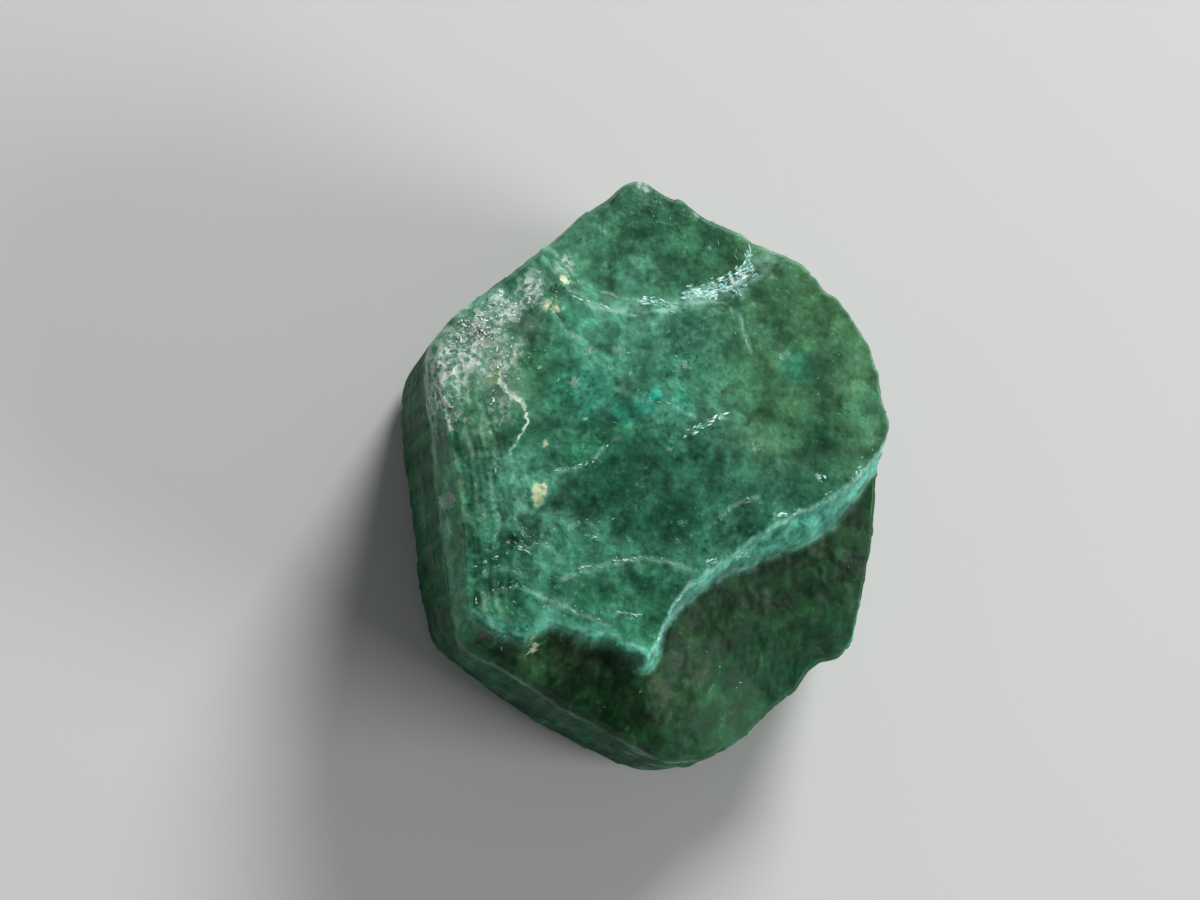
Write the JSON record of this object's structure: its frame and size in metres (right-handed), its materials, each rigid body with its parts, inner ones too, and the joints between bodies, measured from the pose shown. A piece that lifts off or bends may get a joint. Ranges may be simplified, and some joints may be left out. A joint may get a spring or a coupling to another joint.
{
  "type": "raw emerald crystal",
  "caption": "Short hexagonal prism of raw emerald, broken across both ends, with a flat base that it stands on.",
  "frame": {"origin": "on the flat base, under the middle of the bounding box", "axes": "+Z up along the prism's c-axis, away from the base; +Y towards the prism's sharpest corner, along its longest side; +X to the right when the upper end is seen with +Y up"},
  "size_m": [0.02, 0.0246, 0.0126],
  "materials": {
    "emerald": "satin",
    "residue": "matte"
  },
  "bodies": {
    "root": {"emerald_crystal": "emerald"}
  },
  "joints": []
}
